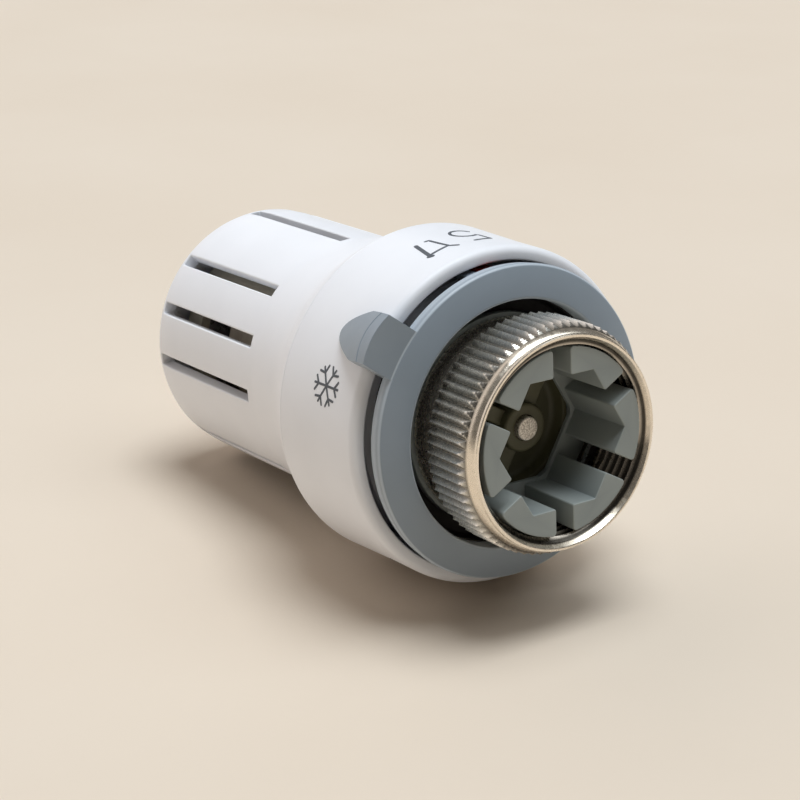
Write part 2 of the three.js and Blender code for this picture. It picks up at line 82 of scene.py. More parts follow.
# ---- Driving dimensions ---------------------------------------------------------------
DRUM_R = 25.8
DRUM_BULGE = 0.4  # how much wider the drum is at its shoulder than at its front
RIM_R = 23.4
SLEEVE_R = 21.05
WALL = 2
LEDGE_R = 23.1  # the drum's ledge that the sleeve's shoulder fits over
LEDGE_REAR_R = 21.5
WEB_FRONT = 36.3
THRUST_FRONT = 42.2  # front of the ring inside the sleeve that the carrier's flange runs on
THRUST_BORE = 17.9
THREAD_R = 19.9
CARRIER_R = 16.3
VENT_DEPTHS = (53.6, 83.0)
VENT_WIDTH = 2.0
VENT_FIRST = 159.4
VENT_STEP = 24.2
VENT_GROUPS = 4

COLLAR_BORE = 18.75
COLLAR_R = 23.8
COLLAR_BACK = 13.5
POINTER_ANGLE = 143.7
STOP_ANGLE = 100.3
STOP_RADII = (21.9, 22.8)
BARREL_R = 18.5
BARREL_BORE = CARRIER_R + 0.4
KEY_ANGLES = (30, 150, 270)  # keyways for the sensor carrier
KEY_HALF_ANGLE = 5.2
KEYWAY_R = CARRIER_R + 1.3

NUT_R = 17.2
NUT_ROOT_R = 16.45
NUT_TEETH = 72
NUT_BORE = 14.2
NUT_MAJOR_R = 15.0
PITCH = 1.5
COLLET_R = 13.98
HEX_FLAT = 9.7
SLOT_WIDTH = 3.1
FINGERS = 6
SOCKET_DEPTH = 11.2
FLOOR_FLAT = 9.15  # half the width across flats of the hole in the socket's floor
BOSS_R = 3.75
PIN_R = 1.8


# ---- Shape helpers --------------------------------------------------------------------
def polar(depth, radius, angle):
    """Point in metres at a depth, a radius and an angle."""
    turn = math.radians(angle)
    return Vector((-depth - DATUM, radius * math.cos(turn), radius * math.sin(turn))) * MM


def rounded(corners, closed=True, steps=5):
    """Outline of (a, b) corners. A third value rounds that corner with an arc of that radius."""
    outline = []
    count = len(corners)
    for i, corner in enumerate(corners):
        here = Vector(corner[:2])
        radius = corner[2] if len(corner) > 2 else 0
        if radius == 0 or (not closed and i in (0, count - 1)):
            outline.append(tuple(here))
            continue
        before = Vector(corners[i - 1][:2]) - here
        after = Vector(corners[(i + 1) % count][:2]) - here
        half = before.angle(after) / 2
        reach = min(radius / math.tan(half), 0.49 * before.length, 0.49 * after.length)
        radius = reach * math.tan(half)
        middle = (before.normalized() + after.normalized()).normalized()
        center = here + middle * radius / math.sin(half)
        start = here + before.normalized() * reach - center
        sweep = math.pi - 2 * half
        if before.x * after.y - before.y * after.x > 0:
            sweep = -sweep
        for step in range(steps + 1):
            turn = sweep * step / steps
            cos, sin = math.cos(turn), math.sin(turn)
            offset = Vector((start.x * cos - start.y * sin, start.x * sin + start.y * cos))
            outline.append(tuple(center + offset))
    return outline


def spread(start, end, count):
    """Evenly spaced values from start to end, both included."""
    return [start + (end - start) * i / count for i in range(count + 1)]


def make_piece(name, verts, faces, material, body, replaces=(), smooth=32):
    """Object from points in metres, shaded smooth except over edges sharper than smooth."""
    mesh = bpy.data.meshes.new(name)
    mesh.from_pydata([tuple(v) for v in verts], [], faces)
    work = bmesh.new()
    work.from_mesh(mesh)
    bmesh.ops.remove_doubles(work, verts=work.verts, dist=1e-7)
    bmesh.ops.recalc_face_normals(work, faces=work.faces)
    work.to_mesh(mesh)
    work.free()
    mesh.shade_smooth()
    mesh.set_sharp_from_angle(angle=math.radians(smooth))
    mesh.materials.append(material)
    piece = bpy.data.objects.new(name, mesh)
    bpy.context.scene.collection.objects.link(piece)
    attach(piece, body)
    if replaces:
        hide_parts(*replaces)
    return piece


def soften(piece, width, segments=2, angle=35):
    """Rounds a piece's edges with a bevel, in millimetres."""
    bevel = piece.modifiers.new("rounded_edges", "BEVEL")
    bevel.width = width * MM
    bevel.segments = segments
    bevel.limit_method = "ANGLE"
    bevel.angle_limit = math.radians(angle)
    bevel.harden_normals = False
    bevel.use_clamp_overlap = True
    return piece


def lathe(outline, turns, relief=None, is_open=None):
    """Solid of revolution of a (depth, radius) outline, with a column at each of the turns.

    relief(depth, radius, angle) gives a point's own radius. is_open(row, column) says which
    cells of the grid are left out. Rows run along the outline, columns round the axis.
    """
    verts, rows = [], []
    for depth, radius in outline:
        if radius < 1e-6:
            rows.append([len(verts)])
            verts.append(polar(depth, 0, 0))
            continue
        rows.append(range(len(verts), len(verts) + len(turns)))
        for angle in turns:
            own = relief(depth, radius, angle) if relief else radius
            verts.append(polar(depth, own, angle))
    faces = []
    on_axis = outline[0][1] < 1e-6
    for row in range(len(rows) - 1 if on_axis else len(rows)):
        near, far = rows[row], rows[(row + 1) % len(rows)]
        for column in range(len(turns)):
            beside = (column + 1) % len(turns)
            if is_open and is_open(row, column):
                continue
            if len(near) == 1:
                faces.append((near[0], far[beside], far[column]))
            elif len(far) == 1:
                faces.append((near[column], near[beside], far[0]))
            else:
                faces.append((near[column], near[beside], far[beside], far[column]))
    return verts, faces, rows


def full_turn(count):
    return [360 * i / count for i in range(count)]


def prism(outline, front, back):
    """Flat (y, z) outline extruded between two depths."""
    count = len(outline)
    verts = [Vector((-depth - DATUM, y, z)) * MM for depth in (front, back) for y, z in outline]
    faces = [tuple(range(count)), tuple(range(2 * count - 1, count - 1, -1))]
    for i in range(count):
        j = (i + 1) % count
        faces.append((i, j, count + j, count + i))
    return verts, faces


def arc_block(front, back, inner, outer, start, end, steps=8):
    """Part of a ring between two angles."""
    turns = spread(start, end, steps)
    outline = [(outer * math.cos(math.radians(a)), outer * math.sin(math.radians(a))) for a in turns]
    outline += [(inner * math.cos(math.radians(a)), inner * math.sin(math.radians(a)))
                for a in reversed(turns)]
    return prism(outline, front, back)


def turned(outline, angle):
    """(y, z) outline turned about the axis."""
    cos, sin = math.cos(math.radians(angle)), math.sin(math.radians(angle))
    return [(y * cos - z * sin, y * sin + z * cos) for y, z in outline]


def merge(*parts):
    """One mesh from several (verts, faces) parts."""
    verts, faces = [], []
    for part_verts, part_faces in parts:
        faces += [tuple(len(verts) + i for i in face) for face in part_faces]
        verts += part_verts
    return verts, faces


def coil(radius, front, lead, turns, wire, steps_per_turn=40, sides=8):
    """Right-handed coil of round wire about the axis."""
    verts, faces = [], []
    steps = round(turns * steps_per_turn)
    for step in range(steps + 1):
        angle = -360 * turns * step / steps
        depth = front + lead * turns * step / steps
        for side in range(sides):
            around = 2 * math.pi * side / sides
            verts.append(polar(depth + wire * math.sin(around), radius + wire * math.cos(around), angle))
    for step in range(steps):
        for side in range(sides):
            a, b = step * sides + side, step * sides + (side + 1) % sides
            faces.append((a, b, b + sides, a + sides))
    faces.append(tuple(range(sides)))
    faces.append(tuple(steps * sides + side for side in reversed(range(sides))))
    return verts, faces


# ---- Material helpers -----------------------------------------------------------------
class Surface:
    """A Principled material whose textures are measured in millimetres on the object."""

    def __init__(self, name, slot, **inputs):
        self.material = bpy.data.materials.new(name)
        self.material.use_nodes = True
        self.material["slot"] = slot
        self.tree = self.material.node_tree
        self.shader = self.tree.nodes["Principled BSDF"]
        for socket, value in inputs.items():
            self.shader.inputs[socket.replace("_", " ")].default_value = value
        coordinates = self.tree.nodes.new("ShaderNodeTexCoord")
        scale = self.tree.nodes.new("ShaderNodeVectorMath")
        scale.operation = "SCALE"
        scale.inputs["Scale"].default_value = 1 / MM
        self.link(coordinates.outputs["Object"], scale.inputs[0])
        self.place = scale.outputs[0]

    def link(self, output, target):
        self.tree.links.new(output, target)

    def noise(self, per_mm, detail=3, rough=0.5, distortion=0.0, stretch=None):
        """Noise with about per_mm waves to the millimetre. stretch scales each axis first."""
        node = self.tree.nodes.new("ShaderNodeTexNoise")
        node.inputs["Scale"].default_value = per_mm
        node.inputs["Detail"].default_value = detail
        node.inputs["Roughness"].default_value = rough
        node.inputs["Distortion"].default_value = distortion
        place = self.place
        if stretch:
            squeeze = self.tree.nodes.new("ShaderNodeVectorMath")
            squeeze.operation = "MULTIPLY"
            squeeze.inputs[1].default_value = stretch
            self.link(place, squeeze.inputs[0])
            place = squeeze.outputs[0]
        self.link(place, node.inputs["Vector"])
        return node.outputs["Fac"]

    def from_axis(self):
        """Distance from the head's axis in millimetres."""
        flatten = self.tree.nodes.new("ShaderNodeVectorMath")
        flatten.operation = "MULTIPLY"
        flatten.inputs[1].default_value = (0, 1, 1)
        self.link(self.place, flatten.inputs[0])
        length = self.tree.nodes.new("ShaderNodeVectorMath")
        length.operation = "LENGTH"
        self.link(flatten.outputs[0], length.inputs[0])
        return length.outputs["Value"]

    def depth(self):
        """Depth behind the datum plane in millimetres."""
        split = self.tree.nodes.new("ShaderNodeSeparateXYZ")
        self.link(self.place, split.inputs[0])
        node = self.tree.nodes.new("ShaderNodeMath")
        node.operation = "MULTIPLY_ADD"
        node.inputs[1].default_value = -1
        node.inputs[2].default_value = -DATUM
        self.link(split.outputs["X"], node.inputs[0])
        return node.outputs[0]

    def cells(self, per_mm):
        node = self.tree.nodes.new("ShaderNodeTexVoronoi")
        node.inputs["Scale"].default_value = per_mm
        self.link(self.place, node.inputs["Vector"])
        return node.outputs["Distance"]

    def ramp(self, value, low, high, from_min=0.3, from_max=0.7):
        """Numbers from low to high as value goes from from_min to from_max."""
        node = self.tree.nodes.new("ShaderNodeMapRange")
        node.inputs["From Min"].default_value = from_min
        node.inputs["From Max"].default_value = from_max
        node.inputs["To Min"].default_value = low
        node.inputs["To Max"].default_value = high
        self.link(value, node.inputs["Value"])
        return node.outputs["Result"]

    def mix(self, factor, first, second):
        """Colour between two colours, or from an output to a colour."""
        node = self.tree.nodes.new("ShaderNodeMix")
        node.data_type = "RGBA"
        self.link(factor, node.inputs["Factor"])
        for socket, colour in ((node.inputs["A"], first), (node.inputs["B"], second)):
            if isinstance(colour, bpy.types.NodeSocket):
                self.link(colour, socket)
            else:
                socket.default_value = (*colour, 1)
        return node.outputs["Result"]

    def bands(self, value, stops):
        """Colour that runs through (value, colour) stops."""
        first, last = stops[0][0], stops[-1][0]
        node = self.tree.nodes.new("ShaderNodeValToRGB")
        ramp = node.color_ramp
        while len(ramp.elements) < len(stops):
            ramp.elements.new(0.5)
        for element, (stop, colour) in zip(ramp.elements, stops):
            element.position = (stop - first) / (last - first)
        for element, (stop, colour) in zip(ramp.elements, stops):
            element.color = (*colour, 1)
        self.link(self.ramp(value, 0, 1, first, last), node.inputs["Fac"])
        return node.outputs["Color"]

    def edges(self, low=0.512, high=0.545):
        """0 on flat and hollow places, rising to 1 on sharp ridges."""
        geometry = self.tree.nodes.new("ShaderNodeNewGeometry")
        return self.ramp(geometry.outputs["Pointiness"], 0, 1, low, high)

    def relief(self, height, depth_mm, strength=1.0, below=None):
        """Bump whose height of 1 stands depth_mm proud. below is a bump it lies on."""
        node = self.tree.nodes.new("ShaderNodeBump")
        node.inputs["Strength"].default_value = strength
        node.inputs["Distance"].default_value = depth_mm * MM
        self.link(height, node.inputs["Height"])
        if below:
            self.link(below, node.inputs["Normal"])
        return node.outputs["Normal"]

    def colour(self, output):
        self.link(output, self.shader.inputs["Base Color"])

    def roughness(self, output):
        self.link(output, self.shader.inputs["Roughness"])

    def normal(self, output):
        self.link(output, self.shader.inputs["Normal"])


def srgb(red, green, blue):
    """Linear colour of an sRGB colour given as 0 to 255."""
    def linear(value):
        value /= 255
        return value / 12.92 if value <= 0.04045 else ((value + 0.055) / 1.055) ** 2.4
    return tuple(linear(value) for value in (red, green, blue))


def plastic(name, slot, colour, shade, roughness, grain, grain_height, painted_edge_light=None):
    """Moulded plastic: faint colour drift, uneven gloss, a fine spark-eroded grain and an optional painted
    highlight on sharp edges.
    """
    surface = Surface(name, slot, Specular_IOR_Level=0.45)
    drift = surface.mix(surface.ramp(surface.noise(0.09, 4), 0, 1), colour, shade)
    # painted highlight: sharp edges get a lighter colour, as where they catch the light
    if painted_edge_light:
        drift = surface.mix(surface.edges(), drift, painted_edge_light)
    surface.colour(drift)
    surface.roughness(surface.ramp(surface.noise(0.35, 5), roughness - 0.05, roughness + 0.05))
    flow = surface.relief(surface.noise(0.22, 2), 0.02)
    surface.normal(surface.relief(surface.noise(grain, 2), grain_height, below=flow))
    return surface


def metal(name, slot, colour, shade, roughness, scratch, stretch, height=0.004, metallic=1.0):
    """Metal with drawn or turned scratches along one way and a blotchy gloss."""
    surface = Surface(name, slot, Metallic=metallic)
    blotch = surface.ramp(surface.noise(0.5, 4), 0, 1)
    surface.colour(surface.mix(blotch, colour, shade))
    surface.roughness(surface.ramp(surface.noise(1.2, 4), roughness - 0.06, roughness + 0.08))
    lines = surface.noise(scratch, 4, stretch=stretch)
    surface.normal(surface.relief(lines, height))
    return surface


WHITE = plastic("white_abs", "white_abs", srgb(244, 246, 251), srgb(240, 242, 247), 0.4, 5, 0.004).material
# the fingers' lighter edges are a painted highlight
FINGER_GREY = plastic("grey_polyamide", "grey_pa", srgb(140, 147, 146), srgb(134, 142, 142),
                      0.5, 7, 0.008, painted_edge_light=srgb(160, 167, 164)).material
BLACK = plastic("black_polyamide", "black_pa", srgb(42, 40, 41), srgb(34, 33, 34), 0.5, 6, 0.01).material
OLIVE = plastic("olive_polyamide", "olive_pa", srgb(92, 90, 66), srgb(78, 76, 54), 0.5, 3, 0.02).material
RED = plastic("red_acetal", "red_pom", srgb(140, 36, 30), srgb(120, 28, 24), 0.42, 6, 0.006).material
NATURAL = plastic("natural_acetal", "natural_pom", srgb(214, 208, 192), srgb(204, 197, 180),
                  0.45, 5, 0.008).material
STEEL = metal("spring_steel", "spring_steel", srgb(190, 190, 190), srgb(160, 160, 162), 0.3, 2.5,
              (1, 8, 8)).material
BRASS = metal("drawn_brass", "brass", srgb(205, 178, 110), srgb(180, 150, 84), 0.32, 2,
              (0.3, 6, 6)).material
ALUMINIUM = metal("drawn_aluminium", "can_aluminium", srgb(222, 212, 198), srgb(206, 196, 182), 0.44, 2,
                  (0.2, 6, 6), metallic=0.45).material


def collar_finish():
    """Blue-grey plastic, with a painted highlight: a lighter line along each of the two edges of the
    collar's ring.
    """
    base, shade, painted_rim_highlight = srgb(145, 157, 169), srgb(140, 152, 163), srgb(184, 195, 205)
    surface = plastic("blue_grey_abs", "blue_grey_abs", base, shade, 0.4, 6, 0.006)
    drift = surface.mix(surface.ramp(surface.noise(0.09, 4), 0, 1), base, shade)
    off, on = (0, 0, 0), (1, 1, 1)
    # painted highlight: light lines along the bore's edge and the outer rim, where the rounded edges catch
    # the light
    line = surface.bands(surface.from_axis(), [
        (COLLAR_BORE - 0.15, on),
        (COLLAR_BORE + 0.12, on),
        (COLLAR_BORE + 0.28, off),
        (COLLAR_R - 0.42, off),
        (COLLAR_R - 0.3, on),
        (COLLAR_R - 0.16, on),
        (COLLAR_R - 0.04, off),
    ])
    surface.colour(surface.mix(line, drift, painted_rim_highlight))
    return surface.material


def barrel_finish():
    """Black polyamide, with painted shade: near black behind the collar and round the drive thread."""
    surface = plastic("barrel_polyamide", "black_pa", srgb(36, 34, 35), srgb(28, 27, 28), 0.55, 6, 0.01)
    drift = surface.mix(surface.ramp(surface.noise(0.09, 4), 0, 1), srgb(36, 34, 35), srgb(28, 27, 28))
    # painted shade: near black from depth 17.2 back, where the barrel lies in the dark gap behind the
    # collar
    behind = surface.mix(surface.ramp(surface.depth(), 0, 1, 16.8, 17.2), drift, srgb(13, 11, 11))
    surface.shader.inputs["Specular IOR Level"].default_value = 0.12
    # painted shade: near black on the flange outside radius 19.4, in the gap behind the collar
    flange = surface.ramp(surface.from_axis(), 0, 1, 18.9, 19.4)
    surface.colour(surface.mix(flange, behind, srgb(13, 11, 11)))
    return surface.material


def nickel_finish():
    """Nickel plating, coloured by its distance from the axis: painted highlights on the ridges and the
    lip, painted shade in the hollows.
    """
    surface = Surface("nickel_plate", "nickel_brass", Metallic=0.9)
    hollow, valley_shade_and_dull_patch, painted_crest_highlight = srgb(62, 58, 52), srgb(136, 132, 123), srgb(252, 249, 242)
    # Painted light by radius: light thread crests, a light beige mouth chamfer and lip as painted
    # highlight and reflection of the warm floor, dark thread roots as painted shade, knurl valleys in the
    # dull colour as painted shade, knurl crests near white as painted highlight.
    painted_light_by_radius = surface.bands(surface.from_axis(), [
        (NUT_BORE, srgb(214, 204, 190)),
        (NUT_BORE + 0.45, hollow),
        (NUT_MAJOR_R - 0.05, hollow),
        (NUT_MAJOR_R + 0.1, srgb(226, 214, 196)),
        (NUT_MAJOR_R + 0.36, srgb(236, 226, 210)),
        (NUT_MAJOR_R + 0.45, srgb(250, 240, 224)),
        (NUT_ROOT_R - 0.06, srgb(240, 229, 212)),
        (NUT_ROOT_R + 0.05, valley_shade_and_dull_patch),
        (NUT_R - 0.1, painted_crest_highlight),
    ])
    # blotch: random dull patches in the same dull colour
    blotch = surface.ramp(surface.noise(0.8, 5), 0, 0.14)
    surface.colour(surface.mix(blotch, painted_light_by_radius, valley_shade_and_dull_patch))
    surface.roughness(surface.ramp(surface.noise(1.2, 4), 0.2, 0.32))
    pits = surface.relief(surface.cells(0.9), 0.004, 0.3)
    surface.normal(surface.relief(surface.noise(3, 3, stretch=(0.35, 1, 1)), 0.0015, below=pits))
    return surface.material


def pin_finish():
    """End of the pressure pin: rough, speckled and dull."""
    surface = Surface("pin_metal", "pin_steel", Metallic=0.75)
    speckle = surface.ramp(surface.noise(3.4, 6, 0.7), 0, 1, 0.42, 0.58)
    surface.colour(surface.mix(speckle, srgb(250, 244, 234), srgb(184, 174, 162)))
    surface.roughness(surface.ramp(surface.noise(4, 3), 0.36, 0.6))
    surface.normal(surface.relief(surface.noise(3.4, 6, 0.7), 0.06))
    return surface.material


def print_finish():
    """Pad-printed grey ink."""
    surface = Surface("dial_ink", "blue_grey_abs", Specular_IOR_Level=0.3)
    drift = surface.ramp(surface.noise(2.2, 4), 0, 1)
    surface.colour(surface.mix(drift, srgb(84, 89, 96), srgb(98, 103, 110)))
    surface.roughness(surface.ramp(surface.noise(3, 3), 0.5, 0.62))
    surface.normal(surface.relief(surface.noise(8, 2), 0.004))
    return surface.material


COLLAR_GREY = collar_finish()
BARREL_BLACK = barrel_finish()
NICKEL = nickel_finish()
PIN_METAL = pin_finish()
INK = print_finish()


# ---- Handle ---------------------------------------------------------------------------
def drum_radius(depth):
    """Outer radius of the drum's dial, which widens a little towards its shoulder."""
    return DRUM_R + DRUM_BULGE * max(0, depth - 22) / 12


def handle_drum():
    sleeve_front = 18.7
    pocket_back = SEAM - 2.3
    outline = rounded([
        (DRUM_FRONT, RIM_R, 0.3),
        (DRUM_FRONT, DRUM_R - 0.1, 2.0),
        (22, DRUM_R, 30),
        (SEAM - 0.06, DRUM_R + DRUM_BULGE, 0.15),
        (SEAM - 0.06, LEDGE_R),
        (WEB_FRONT, LEDGE_R),
        (WEB_BACK, LEDGE_REAR_R),
        (WEB_BACK, CARRIER_R + 0.8),
        (WEB_FRONT, CARRIER_R + 0.8),
        (WEB_FRONT, THREAD_R),
        (sleeve_front, THREAD_R),
        (sleeve_front, THREAD_R + 1.5),
        (pocket_back, THREAD_R + 1.5),
        (pocket_back, DRUM_R - WALL),
        (DRUM_FRONT + 1.2, DRUM_R - WALL, 0.4),
    ], steps=8)
    verts, faces, _ = lathe(outline, full_turn(180))
    return make_piece("drum_shell", verts, faces, WHITE, "handle", ["handle_drum"])


def vent_columns():
    """Angles of the sleeve's grid, with a pair on the edges of each vent, and the vents' columns."""
    half = math.degrees(math.asin(VENT_WIDTH / 2 / SLEEVE_R))
    vents = sorted(
        (VENT_FIRST + 360 / VENT_GROUPS * group + side * VENT_STEP) % 360
        for group in range(VENT_GROUPS) for side in (-1, 0, 1)
    )
    turns, hollow = [], set()
    for i, vent in enumerate(vents):
        following = vents[(i + 1) % len(vents)] + (360 if i == len(vents) - 1 else 0)
        hollow.add(len(turns))
        hollow.add(len(turns) + 1)
        turns += [vent - half, vent, vent + half]
        clear = following - half - (vent + half)
        steps = max(2, round(clear / 2.5))
        turns += spread(vent + half, following - half, steps)[1:-1]
    return turns, hollow


def sleeve_radius(depth):
    """Outer radius of the sleeve behind its shoulder, with its rear edge rounded off."""
    rear_round, rear_r = 7.0, SLEEVE_R + 0.35
    along = depth - (REAR - rear_round)
    if along > 0:
        return rear_r - rear_round + math.sqrt(rear_round ** 2 - along ** 2)
    return SLEEVE_R + 0.35 * (depth - VENT_DEPTHS[0]) / (REAR - VENT_DEPTHS[0])


def vented_sleeve():
    """Shell whose vents are cells left out of its grid, walled between outside and inside."""
    vent_front, vent_rear = VENT_DEPTHS
    stations = spread(vent_rear, vent_front, 8)
    last = len(stations) - 1
    rear = [(REAR, 0), (REAR, 6)]
    rear += [(depth, sleeve_radius(depth)) for depth in (88.295, 88.2, 88.0, 87.6, 87.0, 86.2, 85.2, 84.1)]
    front = rounded([
        (vent_front, SLEEVE_R),
        (52, SLEEVE_R, 60),
        (42, 21.95, 14),
        (36.4, 25.35, 6),
        (SEAM + 0.06, DRUM_R + DRUM_BULGE - 0.04, 0.12),
        (SEAM + 0.06, LEDGE_R + 0.3),
        (WEB_FRONT - 0.1, LEDGE_R + 0.3),
        (WEB_BACK, LEDGE_REAR_R + 0.3),
        (THRUST_FRONT, SLEEVE_R - 1),
        (THRUST_FRONT, THRUST_BORE, 0.2),
        (THRUST_FRONT + 3.2, THRUST_BORE),
        (THRUST_FRONT + 4.4, SLEEVE_R - WALL),
        (vent_front, SLEEVE_R - WALL),
    ], closed=False, steps=6)[1:-1]
    outer_first = len(rear)
    inner_first = outer_first + len(stations) + len(front)
    outline = rear + [(depth, sleeve_radius(depth)) for depth in stations] + front
    outline += [(depth, min(sleeve_radius(depth), SLEEVE_R) - WALL) for depth in reversed(stations)]
    outline += [(84.8, 16.6), (85.9, 14.2), (REAR - WALL, 11.5), (REAR - WALL, 0)]
    turns, hollow = vent_columns()
    vent_rows = set(range(outer_first, outer_first + last)) | set(range(inner_first, inner_first + last))
    verts, faces, rows = lathe(
        outline, turns, is_open=lambda row, column: row in vent_rows and column in hollow)
    for column in hollow:
        beside = (column + 1) % len(turns)
        for outside, inside in ((outer_first, inner_first + last), (outer_first + last, inner_first)):
            faces.append((rows[outside][column], rows[outside][beside],
                          rows[inside][beside], rows[inside][column]))
        edge = column if (column - 1) % len(turns) not in hollow else beside
        for step in range(last):
            outside, inside = outer_first + step, inner_first + last - step
            faces.append((rows[outside][edge], rows[outside + 1][edge],
                          rows[inside - 1][edge], rows[inside][edge]))
    piece = make_piece("sleeve_shell", verts, faces, WHITE, "handle", ["vented_sleeve"])
    return soften(piece, 0.22, 3, 50)


drum = handle_drum()
sleeve = vented_sleeve()


# ---- Marks printed on the dial ----------------------------------------------------------
INK_HEIGHT = 0.03


def curve(center, radius, start, end, squash=1.0, steps=14):
    """Points of an arc, wider or narrower than it is tall by squash."""
    return [
        (center[0] + squash * radius * math.cos(math.radians(a)),
         center[1] + radius * math.sin(math.radians(a)))
        for a in spread(start, end, steps)
    ]


def ribbon(line, width, depth, angle):
    """Thin bar with round ends that follows a line drawn on the dial.

    The line's points are (right, up) in millimetres from the mark's middle, as the dial is
    read: up is towards the nut and right is along the angle.
    """
    points = []
    for start, end in zip(line, line[1:]):
        steps = max(1, round(math.dist(start, end) / 0.5))
        points += [tuple(Vector(start).lerp(Vector(end), i / steps)) for i in range(steps)]
    points.append(line[-1])
    half = width / 2
    first = (Vector(points[0]) - Vector(points[1])).normalized() * half
    final = (Vector(points[-1]) - Vector(points[-2])).normalized() * half
    stations = []
    for share in (0.92, 0.6):
        stations.append((Vector(points[0]) + first * share, math.sqrt(1 - share ** 2)))
    stations += [(Vector(point), 1.0) for point in points]
    for share in (0.6, 0.92):
        stations.append((Vector(points[-1]) + final * share, math.sqrt(1 - share ** 2)))
    verts, faces = [], []
    for i, (point, share) in enumerate(stations):
        ahead = stations[min(i + 1, len(stations) - 1)][0] - stations[max(i - 1, 0)][0]
        side = Vector((-ahead.y, ahead.x)).normalized() * half * share
        for edge in (point + side, point - side):
            place = depth - edge.y
            radius = drum_radius(place)
            turn = angle + math.degrees(edge.x / radius)
            verts.append(polar(place, radius + INK_HEIGHT, turn))
            verts.append(polar(place, radius - INK_HEIGHT, turn))
    for i in range(len(stations) - 1):
        a, b = 4 * i, 4 * (i + 1)
        faces += [(a, a + 2, b + 2, b), (a + 1, b + 1, b + 3, a + 3), (a, b, b + 1, a + 1),
                  (a + 2, a + 3, b + 3, b + 2)]
    end = 4 * (len(stations) - 1)
    faces += [(0, 1, 3, 2), (end, end + 2, end + 3, end + 1)]
    return verts, faces


def mark(name, strokes, width, depth, angle):
    parts = [ribbon(line, width, depth, angle) for line in strokes]
    return make_piece(name, *merge(*parts), INK, "handle")


def frost_strokes(arm=2.93, fork=2.0, branch=1.27, tilt=30):
    strokes = []
    for i in range(6):
        turn = math.radians(60 * i + tilt)
        out = Vector((math.cos(turn), math.sin(turn)))
        strokes.append([(0, 0), tuple(out * arm)])
        for side in (-54, 54):
            lean = Matrix.Rotation(math.radians(side), 2) @ out
            strokes.append([tuple(out * fork), tuple(out * fork + lean * branch)])
    return strokes


DIGIT_HEIGHT = 6.4
HALF = DIGIT_HEIGHT / 2
DIGIT_STROKES = {
    "1": [[(-1.3, HALF - 1.3), (0.3, HALF), (0.3, -HALF)]],
    "2": [curve((0, HALF - 1.75), 1.75, 160, -35, 1.15) + [(-2.1, -HALF), (2.15, -HALF)]],
    "3": [curve((0, HALF - 1.6), 1.6, 150, -90, 1.15) + curve((0, -HALF + 1.7), 1.7, 90, -150, 1.25)[1:]],
    "4": [[(1.1, -HALF), (1.1, HALF), (-2.3, -1.2), (2.3, -1.2)]],
    "5": [[(1.75, HALF), (-1.45, HALF), (-1.6, 0.55)]
          + curve((0, -HALF + 1.9), 1.9, 130, -155, 1.1)],
}
DIGIT_TILT = 8
DIAL_DEPTH = 24.2
FIRST_DIGIT = 237.4
DIGIT_STEP = 52
END_MARK_BAR = [[(1.45, -1.8), (2.5, 3.25)], [(2.35, 3.75), (2.85, 3.45)]]
END_MARK_LEGS = [
    [(2.3, 3.1), (0.5, 2.85), (-1.3, 2.6), (-2.35, 3.7)],
    [(-0.4, -1.95), (-0.95, -1.85), (-1.15, 0.5), (-1.4, 2.5)],
]

mark("frost_mark", frost_strokes(), 0.36, 23.0, 162.0)
mark("end_mark_bar", END_MARK_BAR, 0.66, 24.0, 101)
mark("end_mark_legs", END_MARK_LEGS, 0.46, 24.0, 101)
for position, (digit, strokes) in enumerate(DIGIT_STROKES.items()):
    tilted = [turned(line, DIGIT_TILT) for line in strokes]
    mark(f"digit_{digit}", tilted, 0.5, DIAL_DEPTH, FIRST_DIGIT + DIGIT_STEP * position)


# ---- Collar with pointer, stop and clip -------------------------------------------------
def collar():
    outline = rounded([
        (COLLAR_BACK, COLLAR_BORE - 0.15, 0.1),
        (COLLAR_FRONT, COLLAR_BORE - 0.1, 0.4),
        (COLLAR_FRONT + 1.0, COLLAR_R, 0.6),
        (COLLAR_BACK, COLLAR_R - 0.3, 0.15),
    ])
    verts, faces, _ = lathe(outline, full_turn(180))
    return make_piece("collar_ring", verts, faces, COLLAR_GREY, "base", ["pointer_collar"])


